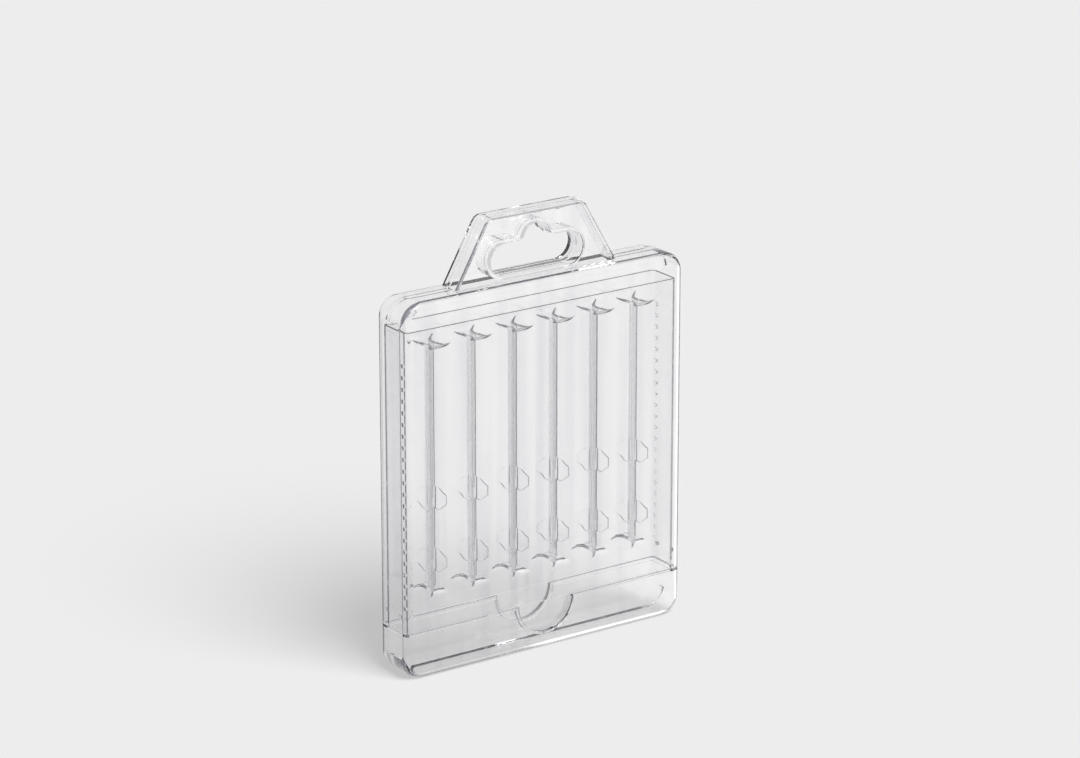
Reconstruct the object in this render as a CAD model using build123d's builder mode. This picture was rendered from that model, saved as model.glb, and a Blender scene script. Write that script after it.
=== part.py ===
"""Clear two-piece hang box for a set of seven slim tools.

A flat cover with a euro-slot hanger slides down over a seven-cell tray and
comes to rest on the shoulder of the tray's base. Both are thin mouldings.
Frame: X across the width, the front face towards -Y, Z up, and the origin
under the middle of the base. All sizes are in millimetres.
"""
import os

from build123d import *

# Closed box
width = 105.0
depth = 15.0
base_height = 15.5
cover_height = 105.9
corner_radius = 6.5
edge_radius = 2.5

# Walls and running gaps
cover_wall = 1.0
base_wall = 1.0
cell_wall = 0.9
face_gap = 0.4
side_gap = 1.0
rim_gap = 0.1

# Hanger with its euro slot
hanger_height = 20.6
hanger_foot_width = 60.0
hanger_head_width = 36.4
hanger_thickness = 8.4
hanger_corner_radius = 3.5
hanger_chamfer = 0.8
slot_width = 34.6
slot_lobe_height = 10.7
slot_lift = 1.3
slot_peak_height = 15.6
slot_peak_radius = 5.2
slot_blend_radius = 2.0

# Seam where the halves of the mould meet, behind the middle, and the weld bead inside it
seam_offset = 1.5
seam_width = 1.2
seam_height = 0.5
weld_width = 2.4
weld_height = 0.6
weld_flank = 0.5

# Tray and the furrows between its cells
tray_height = 96.9
tray_corner_radius = 1.6
furrow_count = 6
end_cell_width = 12.25
web_width = 2.2
web_thickness = 1.0
furrow_start = 11.5
furrow_length = 78.0
furrow_end_radius = 2.8
cell_flat = 3.2

# Dimples that narrow each cell at two heights above the shoulder
dimple_heights = (20.0, 40.4)
dimple_radius = 3.9
dimple_sides = 8
dimple_offset = 1.1
dimple_depth = 0.35

# Thumb notches in the base, and the ratchet on the sides
notch_radius = 10.2
ratchet_count = 22
ratchet_pitch = 3.75
ratchet_start = 7.4
ratchet_offset = 3.7
bump_radius = 0.75
bump_sides = 8
bump_taper = 42.0
bump_height = 0.4
bump_root = 0.5
nub_height = 0.35
nub_lift = 5.2

# Worked out from the sizes above
total_height = base_height + cover_height
tray_width = width - 2 * (cover_wall + side_gap)
tray_depth = depth - 2 * (cover_wall + face_gap)
tray_top = base_height + tray_height
cell_pitch = (tray_width - 2 * end_cell_width) / (furrow_count - 1)
cell_width = cell_pitch - web_width
cell_rounding = (min(cell_width, tray_depth) - cell_flat) / 2
past = depth
seam = Plane.XZ.offset(-seam_offset)


def outer_block():
    """The outside of the closed box, its front and rear edges rounded."""
    with BuildPart() as block:
        with BuildSketch(Plane.XZ):
            with Locations((0, total_height / 2)):
                RectangleRounded(width, total_height, corner_radius)
        extrude(amount=depth / 2, both=True)
        fillet(block.faces().filter_by(Axis.Y).edges(), edge_radius)
    return block.part


def inner_block(wall):
    """The space inside the closed box's wall, crossed from its rounded front, top and side views."""
    inner_width = width - 2 * wall
    inner_depth = depth - 2 * wall
    inner_height = total_height - 2 * wall
    inner_radius = edge_radius - wall
    with BuildPart() as block:
        with BuildSketch(Plane.XZ):
            with Locations((0, total_height / 2)):
                RectangleRounded(inner_width, inner_height, corner_radius)
        extrude(amount=inner_depth / 2, both=True)
        with BuildSketch(Plane.XY):
            RectangleRounded(inner_width, inner_depth, inner_radius)
        extrude(amount=total_height, mode=Mode.INTERSECT)
        with BuildSketch(Plane.YZ):
            with Locations((0, total_height / 2)):
                RectangleRounded(inner_depth, inner_height, inner_radius)
        extrude(amount=width / 2, both=True, mode=Mode.INTERSECT)
    return block.part


def weld_ring(wall):
    """The weld bead that runs round the inside of the closed box's wall, at the seam."""
    crest = wall + weld_height
    root = wall / 2
    with BuildPart() as ring:
        with BuildSketch(seam.offset(-weld_width / 2)):
            with Locations((0, total_height / 2)):
                RectangleRounded(width - 2 * root, total_height - 2 * root, corner_radius - root)
                RectangleRounded(
                    width - 2 * crest,
                    total_height - 2 * crest,
                    corner_radius - crest,
                    mode=Mode.SUBTRACT,
                )
        extrude(amount=weld_width)
        rims = [face.inner_wires()[0].edges() for face in ring.faces().filter_by(Axis.Y)]
        chamfer(rims[0] + rims[1], weld_flank)
    return ring.part


def furrow_section(growth, floor_growth):
    """Plan of one front furrow: the space between two rounded cells, down to the web."""
    floor = floor_growth - web_thickness / 2
    with BuildSketch() as section:
        with Locations((0, floor - past / 2)):
            Rectangle(cell_pitch, past)
        with GridLocations(cell_pitch, 0, 2, 1):
            RectangleRounded(
                cell_width - 2 * growth,
                tray_depth - 2 * growth,
                cell_rounding - growth,
                mode=Mode.SUBTRACT,
            )
    return section.sketch


def furrow_profile(growth):
    """Side view of one front furrow, whose two ends round over to the tray's face."""
    start = base_height + furrow_start
    end = start + furrow_length
    face = growth - tray_depth / 2
    turn = furrow_end_radius - tray_depth / 2
    end_radius = furrow_end_radius - growth
    with BuildSketch(Plane.YZ.offset(-cell_pitch / 2)) as profile:
        with BuildLine():
            Line((past, start - growth), (turn, start - growth))
            RadiusArc((turn, start - growth), (face, start - furrow_end_radius), -end_radius)
            Polyline(
                (face, start - furrow_end_radius),
                (-past, start - furrow_end_radius),
                (-past, end + furrow_end_radius),
                (face, end + furrow_end_radius),
            )
            RadiusArc((face, end + furrow_end_radius), (turn, end + growth), -end_radius)
            Polyline((turn, end + growth), (past, end + growth), (past, start - growth))
        make_face()
    return profile.sketch


def dimple_profile():
    """Side view of the rounded dimples in one front furrow."""
    with BuildSketch(Plane.YZ.offset(-cell_pitch / 2)) as profile:
        with Locations(*[(-dimple_offset, base_height + height) for height in dimple_heights]):
            RegularPolygon(dimple_radius, dimple_sides, rotation=180 / dimple_sides)
    return profile.sketch


def crossed(plan, side_view):
    """The space that a plan and a side view have in common."""
    with BuildPart() as space:
        extrude(plan, amount=tray_top)
        extrude(side_view, amount=cell_pitch, mode=Mode.INTERSECT)
    return space.part


def on_both_faces(front_shape):
    """A shape of one front furrow, repeated along the front and mirrored to the rear."""
    with BuildPart() as rows:
        with GridLocations(cell_pitch, 0, furrow_count, 1):
            add(front_shape)
        mirror(about=Plane.XZ)
    return rows.part


def notches(growth):
    """The half-round thumb notches of both faces, as deep as the shoulder, grown by growth."""
    with BuildPart() as pair:
        with BuildSketch(Plane.XZ.offset(tray_depth / 2 - growth)):
            with Locations((0, base_height)):
                Circle(notch_radius + growth)
        extrude(amount=past)
        mirror(about=Plane.XZ)
        split(bisect_by=Plane.XY.offset(base_height), keep=Keep.BOTTOM)
    return pair.part


def bump(height):
    """A low tapered bump standing on the XY plane, with a root below it."""
    with BuildPart() as cap:
        with BuildSketch(Plane.XY.offset(-bump_root)):
            RegularPolygon(bump_radius, bump_sides)
        extrude(amount=bump_root)
        with BuildSketch():
            RegularPolygon(bump_radius, bump_sides)
        extrude(amount=height, taper=bump_taper)
    return cap.part


def hanger_face(lift):
    """Front view of the hanger, from lift above the cover's top upwards."""
    lean = (hanger_foot_width - hanger_head_width) / 2 / hanger_height
    foot = hanger_foot_width / 2 - lift * lean
    head = hanger_head_width / 2
    with BuildSketch() as face:
        with BuildLine():
            Polyline(
                (-foot, total_height + lift),
                (-head, total_height + hanger_height),
                (head, total_height + hanger_height),
                (foot, total_height + lift),
                close=True,
            )
        make_face()
        fillet(face.vertices().group_by(Axis.Y)[-1], hanger_corner_radius)
    return face.sketch


# Hanger: a hollow plate with a euro slot, whose raised seam is at the middle of its thickness
plate_face = hanger_face(-cover_wall)
cavity_face = hanger_face(-3 * cover_wall)
hanger_front = seam.offset(hanger_thickness / 2)
hanger_back = seam.offset(-hanger_thickness / 2)
slot_foot = total_height + slot_lift
slot_reach = (hanger_thickness - seam_width) / 2

with BuildSketch() as euro_slot:
    with Locations((0, slot_foot + slot_lobe_height / 2)):
        SlotOverall(slot_width, slot_lobe_height)
    with Locations(Location((0, slot_foot + slot_peak_height - slot_peak_radius, 0), (0, 0, -90))):
        Circle(slot_peak_radius)
    creases = euro_slot.vertices().sort_by(lambda vertex: abs(vertex.X))[:2]
    fillet(creases, slot_blend_radius)

with BuildPart() as hanger:
    with BuildSketch(hanger_back):
        add(plate_face)
    extrude(amount=hanger_thickness)
    outline = hanger.faces().filter_by(Axis.Y).edges()
    chamfer(outline.sort_by(Axis.Z)[2:], hanger_chamfer)
    with BuildSketch(seam.offset(-seam_width / 2)):
        offset(plate_face, amount=seam_height)
    extrude(amount=seam_width)
    with BuildSketch(hanger_back):
        offset(euro_slot.sketch, amount=-seam_height)
    extrude(amount=hanger_thickness, mode=Mode.SUBTRACT)
    with BuildSketch(hanger_back, hanger_front.offset(-slot_reach)):
        add(euro_slot.sketch)
    extrude(amount=slot_reach, mode=Mode.SUBTRACT)

with BuildPart() as hanger_cavity:
    with BuildSketch(hanger_back.offset(cover_wall)):
        offset(cavity_face, amount=-cover_wall)
        offset(euro_slot.sketch, amount=cover_wall, mode=Mode.SUBTRACT)
    extrude(amount=hanger_thickness - 2 * cover_wall)

# Cover: a sleeve that is open below, with the hanger on its top and nubs that ride the ratchet
box_outside = outer_block()
cover_inside = inner_block(cover_wall)
cover_weld = weld_ring(cover_wall)
nub = bump(nub_height)
nub_places = [
    Location(
        (side * (width / 2 - cover_wall), face * ratchet_offset, base_height + nub_lift),
        (0, -90 * side, 0),
    )
    for side in (-1, 1)
    for face in (-1, 1)
]
with BuildPart() as cover_bead:
    add(cover_weld)
    split(bisect_by=Plane.XY.offset(total_height - corner_radius), keep=Keep.TOP)

with BuildPart() as cover:
    add(box_outside)
    split(bisect_by=Plane.XY.offset(base_height + rim_gap), keep=Keep.TOP)
    add(hanger.part)
    add(cover_inside, mode=Mode.SUBTRACT)
    add(cover_bead.part)
    add(hanger_cavity.part, mode=Mode.SUBTRACT)
    with Locations(*nub_places):
        add(nub)

# Tray: seven cells above a base that is flush with the cover
base_inside = inner_block(base_wall)
base_weld = weld_ring(base_wall)
notch_backs = notches(cell_wall)
cell_furrows = on_both_faces(crossed(furrow_section(cell_wall, cell_wall), furrow_profile(cell_wall)))
with BuildPart() as tray_cavity:
    add(base_inside)
    split(bisect_by=Plane.XY.offset(base_height - base_wall), keep=Keep.BOTTOM)
    add(notch_backs, mode=Mode.SUBTRACT)
    with BuildSketch(Plane.XY.offset(base_wall + edge_radius)):
        RectangleRounded(
            tray_width - 2 * cell_wall,
            tray_depth - 2 * cell_wall,
            tray_corner_radius - cell_wall,
        )
    extrude(amount=tray_top)
    add(cell_furrows, mode=Mode.SUBTRACT)

tray_notches = notches(0)
tray_furrows = on_both_faces(crossed(furrow_section(0, 0), furrow_profile(0)))
tray_dimples = on_both_faces(crossed(furrow_section(dimple_depth, 0), dimple_profile()))
ratchet_bump = bump(bump_height)
ratchet_places = [
    Location(
        (side * tray_width / 2, side * ratchet_offset, base_height + ratchet_start + step * ratchet_pitch),
        (0, 90 * side, 0),
    )
    for side in (-1, 1)
    for step in range(ratchet_count)
]
with BuildPart() as tray_bead:
    add(base_weld)
    split(bisect_by=Plane.XY.offset(corner_radius), keep=Keep.BOTTOM)

with BuildPart() as tray:
    add(box_outside)
    split(bisect_by=Plane.XY.offset(base_height), keep=Keep.BOTTOM)
    add(tray_notches, mode=Mode.SUBTRACT)
    with BuildSketch(Plane.XY.offset(base_height)):
        RectangleRounded(tray_width, tray_depth, tray_corner_radius)
    extrude(amount=tray_height)
    add(tray_furrows, mode=Mode.SUBTRACT)
    add(tray_dimples, mode=Mode.SUBTRACT)
    add(tray_cavity.part, mode=Mode.SUBTRACT)
    add(tray_bead.part)
    with Locations(*ratchet_places):
        add(ratchet_bump)

os.makedirs("parts", exist_ok=True)

cover.part.label = "cover"
export_step(cover.part, "parts/cover.step")

tray.part.label = "tray"
export_step(tray.part, "parts/tray.step")
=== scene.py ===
"""Studio scene for the clear hang box: its two mouldings on a pale floor, seen as in the photograph.

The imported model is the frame. Both of its nodes keep their shape and get a clear plastic.
Lengths are in metres.
"""
import math

import bpy
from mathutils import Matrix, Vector

WHITE = (1.0, 1.0, 1.0, 1.0)

# Camera, as solved from the box's edges in the photograph
CAMERA_AZIMUTH = math.radians(-34.716)
CAMERA_ELEVATION = math.radians(18.423)
CAMERA_DISTANCE = 1.326243
CAMERA_SIDESTEP = 0.0023307
CAMERA_LIFT = 0.0824691
CAMERA_LENS = 139.556
SENSOR_WIDTH = 36.0

# Floor: just below the box, so that their surfaces don't coincide. Seen in the plastic, it loses
# the cleared share of its shadow.
FLOOR_SIZE = 12.0
FLOOR_DROP = 0.00015
FLOOR_COLOUR = (0.86, 0.86, 0.86, 1.0)
FLOOR_GLOW = 0.525
FLOOR_CLEARED = 0.1

# Key light
KEY_AZIMUTH = math.radians(8.0)
KEY_ELEVATION = math.radians(54.0)
KEY_STRENGTH = 1.454
KEY_SPREAD = math.radians(40.0)

# Painted reflections: the floor's and world's glow, as the plastic reflects it. Each deeper
# reflection keeps a share of the light and shows painted shade for the rest. A first reflection
# shows painted glints and painted shade, the front glint only in the outer walls, which a ray
# reaches within a few refractions.
WORLD_STRENGTH = 0.85
REFLECTED_PAINTED_SHADE = (0.08, 0.08, 0.12, 1.0)
REFLECTION_KEEP = 0.81
OUTER_WALL_DEPTH = 3.5
FIRST_REFLECTION = 1.0
DEPTH_TOLERANCE = 0.5

# Painted glints and painted shade in first reflections: direction, sharpness of the edge, and the
# glow added or the share hidden
FRONT_PAINTED_GLINT = ((0.57, -0.82, 0.0), 1.0, 0.85)
BACK_PAINTED_SHADE = ((-0.57, 0.82, 0.0), 5.0, 0.4)
KEY_GLINT_SHARPNESS = 15.0
KEY_PAINTED_GLINT_GLOW = 3.0

# Clear plastic, with flow lines along its height, painted sheen streaks along them and hazy patches
PLASTIC_IOR = 1.53
PLASTIC_ROUGHNESS = (0.015, 0.06)
FLOW_AND_SHEEN_SCALE = (260.0, 260.0, 6.0)
FLOW_AND_SHEEN_EDGES = (0.4, 0.5)
FLOW_AND_SHEEN_TINT = (0.952, 0.952, 0.96, 1.0)
FLOW_DEPTH = 0.00002
FLOW_STRENGTH = 0.25
HAZE_SCALE = 150.0
HAZE_EDGES = (0.38, 0.58)
HAZE_TINT = (0.988, 0.988, 0.99, 1.0)

# Enough for a ray through all the walls
LIGHT_BOUNCES = 32


def link(tree, source, target):
    tree.links.new(source, target)


def node(tree, kind, **settings):
    made = tree.nodes.new(kind)
    for name, value in settings.items():
        setattr(made, name, value)
    return made


def math_node(tree, operation, first, second, third=None):
    """The result of a math node over sockets and plain numbers."""
    made = node(tree, "ShaderNodeMath", operation=operation)
    for socket, value in zip(made.inputs, (first, second, third)):
        if isinstance(value, (int, float)):
            socket.default_value = value
        elif value is not None:
            link(tree, value, socket)
    return made.outputs[0]


def noise(tree, vector, scale):
    made = node(tree, "ShaderNodeTexNoise")
    made.inputs["Scale"].default_value = scale
    link(tree, vector, made.inputs["Vector"])
    return made.outputs["Fac"]


def tint(tree, value, edges, colour):
    """A colour where a value is low, which clears as the value rises from one edge to the other."""
    ramp = node(tree, "ShaderNodeValToRGB")
    for stop, edge, shown in zip(ramp.color_ramp.elements, edges, (colour, WHITE)):
        stop.position = edge
        stop.color = shown
    link(tree, value, ramp.inputs["Fac"])
    return ramp.outputs["Color"]


def clear_plastic(name):
    """A clear, glossy moulded plastic with flow lines, painted sheen streaks and hazy patches."""
    material = bpy.data.materials.new(name)
    material.use_nodes = True
    tree = material.node_tree
    shader = tree.nodes["Principled BSDF"]
    shader.inputs["IOR"].default_value = PLASTIC_IOR
    shader.inputs["Transmission Weight"].default_value = 1.0

    place = node(tree, "ShaderNodeTexCoord").outputs["Object"]
    stretch = node(tree, "ShaderNodeMapping")
    stretch.inputs["Scale"].default_value = FLOW_AND_SHEEN_SCALE
    link(tree, place, stretch.inputs["Vector"])
    flow = noise(tree, stretch.outputs["Vector"], 1.0)
    haze = noise(tree, place, HAZE_SCALE)

    # Flow lines with painted sheen: the flow pattern tints the plastic darker between clear streaks
    # along its height.
    colour = node(tree, "ShaderNodeVectorMath", operation="MULTIPLY")
    link(tree, tint(tree, flow, FLOW_AND_SHEEN_EDGES, FLOW_AND_SHEEN_TINT), colour.inputs[0])
    link(tree, tint(tree, haze, HAZE_EDGES, HAZE_TINT), colour.inputs[1])
    link(tree, colour.outputs["Vector"], shader.inputs["Base Color"])

    ripple = node(tree, "ShaderNodeBump")
    ripple.inputs["Strength"].default_value = FLOW_STRENGTH
    ripple.inputs["Distance"].default_value = FLOW_DEPTH
    link(tree, flow, ripple.inputs["Height"])
    link(tree, ripple.outputs["Normal"], shader.inputs["Normal"])

    spread = node(tree, "ShaderNodeMapRange")
    smoothest, roughest = PLASTIC_ROUGHNESS
    spread.inputs["To Min"].default_value = smoothest
    spread.inputs["To Max"].default_value = roughest
    link(tree, haze, spread.inputs["Value"])
    link(tree, spread.outputs["Result"], shader.inputs["Roughness"])
    return material


def dress(piece, material):
    piece.data.materials.clear()
    piece.data.materials.append(material)


def lobe(tree, place, towards, sharpness):
    """How near a place's direction is to another one, from 1 down to 0 over a soft edge."""
    aim = node(tree, "ShaderNodeVectorMath", operation="NORMALIZE")
    link(tree, place, aim.inputs[0])
    facing = node(tree, "ShaderNodeVectorMath", operation="DOT_PRODUCT")
    link(tree, aim.outputs["Vector"], facing.inputs[0])
    facing.inputs[1].default_value = towards
    ahead = math_node(tree, "MAXIMUM", facing.outputs["Value"], 0.0)
    return math_node(tree, "POWER", ahead, sharpness)


def with_painted_reflections(tree, lit, place, emitter, painted_glints=(), painted_shades=()):
    """What the stage shows: itself, and in the plastic's reflections also painted shade and painted
    glints.
    """
    path = node(tree, "ShaderNodeLightPath")
    reflections = path.outputs["Glossy Depth"]
    refractions = path.outputs["Transmission Depth"]
    outer = math_node(tree, "LESS_THAN", refractions, OUTER_WALL_DEPTH)
    first = math_node(tree, "COMPARE", reflections, FIRST_REFLECTION, DEPTH_TOLERANCE)

    deeper = math_node(tree, "MAXIMUM", math_node(tree, "SUBTRACT", reflections, outer), 0.0)
    kept = math_node(tree, "POWER", REFLECTION_KEEP, deeper)
    # Painted shade: each shaded direction hides a share of the light in first reflections.
    for towards, sharpness, share in painted_shades:
        hidden = math_node(tree, "MULTIPLY", lobe(tree, place, towards, sharpness), first)
        left = math_node(tree, "MULTIPLY_ADD", hidden, -share, 1.0)
        kept = math_node(tree, "MULTIPLY", kept, left)
    # Painted shade, shown in the plastic's deeper reflections.
    shade = node(tree, emitter)
    shade.inputs["Color"].default_value = REFLECTED_PAINTED_SHADE
    seen = node(tree, "ShaderNodeMixShader")
    link(tree, kept, seen.inputs["Fac"])
    link(tree, shade.outputs[0], seen.inputs[1])
    link(tree, lit, seen.inputs[2])

    # Painted glints: glow added in first reflections, the front one only in the outer walls.
    towards, sharpness, glow = FRONT_PAINTED_GLINT
    front = math_node(tree, "MULTIPLY", lobe(tree, place, towards, sharpness), glow)
    white = math_node(tree, "MULTIPLY", outer, front)
    for towards, sharpness, glow in painted_glints:
        white = math_node(tree, "MULTIPLY_ADD", lobe(tree, place, towards, sharpness), glow, white)
    painted_glint_light = node(tree, emitter)
    link(tree, math_node(tree, "MULTIPLY", white, first), painted_glint_light.inputs["Strength"])
    total = node(tree, "ShaderNodeAddShader")
    link(tree, seen.outputs["Shader"], total.inputs[0])
    link(tree, painted_glint_light.outputs[0], total.inputs[1])
    return total.outputs["Shader"]


def make_floor():
    """A pale, softly glowing paper floor."""
    bpy.ops.mesh.primitive_plane_add(size=FLOOR_SIZE, location=(0.0, 0.0, -FLOOR_DROP))
    floor = bpy.context.object
    floor.name = "floor"
    material = bpy.data.materials.new("floor_paper")
    material.use_nodes = True
    tree = material.node_tree
    tree.nodes.clear()
    paper = node(tree, "ShaderNodeBsdfDiffuse")
    paper.inputs["Color"].default_value = FLOOR_COLOUR
    glow = node(tree, "ShaderNodeEmission")
    glow.inputs["Strength"].default_value = FLOOR_GLOW
    lit = node(tree, "ShaderNodeAddShader")
    link(tree, paper.outputs["BSDF"], lit.inputs[0])
    link(tree, glow.outputs["Emission"], lit.inputs[1])

    plain = node(tree, "ShaderNodeEmission")
    plain.inputs["Strength"].default_value = WORLD_STRENGTH
    direct = node(tree, "ShaderNodeLightPath").outputs["Is Camera Ray"]
    cleared = math_node(tree, "MULTIPLY_ADD", direct, -FLOOR_CLEARED, FLOOR_CLEARED)
    shown = node(tree, "ShaderNodeMixShader")
    link(tree, cleared, shown.inputs["Fac"])
    link(tree, lit.outputs["Shader"], shown.inputs[1])
    link(tree, plain.outputs["Emission"], shown.inputs[2])

    place = node(tree, "ShaderNodeNewGeometry").outputs["Position"]
    # In the plastic's reflections the floor shows painted shade, with more of it towards the back
    # left.
    light = with_painted_reflections(tree, shown.outputs["Shader"], place, "ShaderNodeEmission",
                         painted_shades=(BACK_PAINTED_SHADE,))
    link(tree, light, node(tree, "ShaderNodeOutputMaterial").inputs["Surface"])
    floor.data.materials.append(material)


def direction(azimuth, elevation):
    """The direction from the box to a lamp or camera."""
    across = math.cos(elevation)
    return Vector((math.sin(azimuth) * across, -math.cos(azimuth) * across, math.sin(elevation)))


def make_world():
    """A plain white studio, which the plastic shows with painted shade and a painted glint towards
    the key lamp in its reflections, but which doesn't light the floor's paper.
    """
    world = bpy.data.worlds.new("studio")
    bpy.context.scene.world = world
    world.use_nodes = True
    world.cycles_visibility.diffuse = False
    tree = world.node_tree
    tree.nodes.clear()
    plain = node(tree, "ShaderNodeBackground")
    plain.inputs["Color"].default_value = WHITE
    plain.inputs["Strength"].default_value = WORLD_STRENGTH
    place = node(tree, "ShaderNodeTexCoord").outputs["Generated"]
    # Painted glint towards the key lamp, in first reflections only.
    key_glint = (direction(KEY_AZIMUTH, KEY_ELEVATION), KEY_GLINT_SHARPNESS, KEY_PAINTED_GLINT_GLOW)
    light = with_painted_reflections(tree, plain.outputs["Background"], place, "ShaderNodeBackground",
                         painted_glints=(key_glint,))
    link(tree, light, node(tree, "ShaderNodeOutputWorld").inputs["Surface"])


def place_in_scene(name, data, azimuth, elevation):
    """A lamp or camera that looks at the box from a direction."""
    made = bpy.data.objects.new(name, data)
    made.rotation_euler = (math.pi / 2 - elevation, 0.0, azimuth)
    bpy.context.scene.collection.objects.link(made)
    return made


def make_key_light():
    data = bpy.data.lights.new("key", "SUN")
    data.energy = KEY_STRENGTH
    data.angle = KEY_SPREAD
    place_in_scene("key", data, KEY_AZIMUTH, KEY_ELEVATION)


def make_camera():
    data = bpy.data.cameras.new("camera")
    data.lens = CAMERA_LENS
    data.sensor_width = SENSOR_WIDTH
    camera = place_in_scene("camera", data, CAMERA_AZIMUTH, CAMERA_ELEVATION)
    right = Vector((math.cos(CAMERA_AZIMUTH), math.sin(CAMERA_AZIMUTH), 0.0))
    back = direction(CAMERA_AZIMUTH, CAMERA_ELEVATION)
    up = back.cross(right)
    camera.location = right * CAMERA_SIDESTEP + up * CAMERA_LIFT + back * CAMERA_DISTANCE
    bpy.context.scene.camera = camera


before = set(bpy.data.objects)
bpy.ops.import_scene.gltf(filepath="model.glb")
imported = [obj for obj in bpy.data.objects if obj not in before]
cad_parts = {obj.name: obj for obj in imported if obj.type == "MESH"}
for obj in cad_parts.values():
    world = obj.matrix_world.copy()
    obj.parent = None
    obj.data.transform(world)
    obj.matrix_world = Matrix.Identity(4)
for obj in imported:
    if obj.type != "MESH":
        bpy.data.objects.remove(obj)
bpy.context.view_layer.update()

dress(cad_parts["cover"], clear_plastic("cover_plastic"))
dress(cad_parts["tray"], clear_plastic("tray_plastic"))

make_floor()
make_world()
make_key_light()
make_camera()

scene = bpy.context.scene
scene.view_settings.view_transform = "Standard"
scene.cycles.max_bounces = LIGHT_BOUNCES
scene.cycles.transmission_bounces = LIGHT_BOUNCES
scene.cycles.glossy_bounces = LIGHT_BOUNCES
scene.cycles.caustics_refractive = False
scene.cycles.caustics_reflective = False
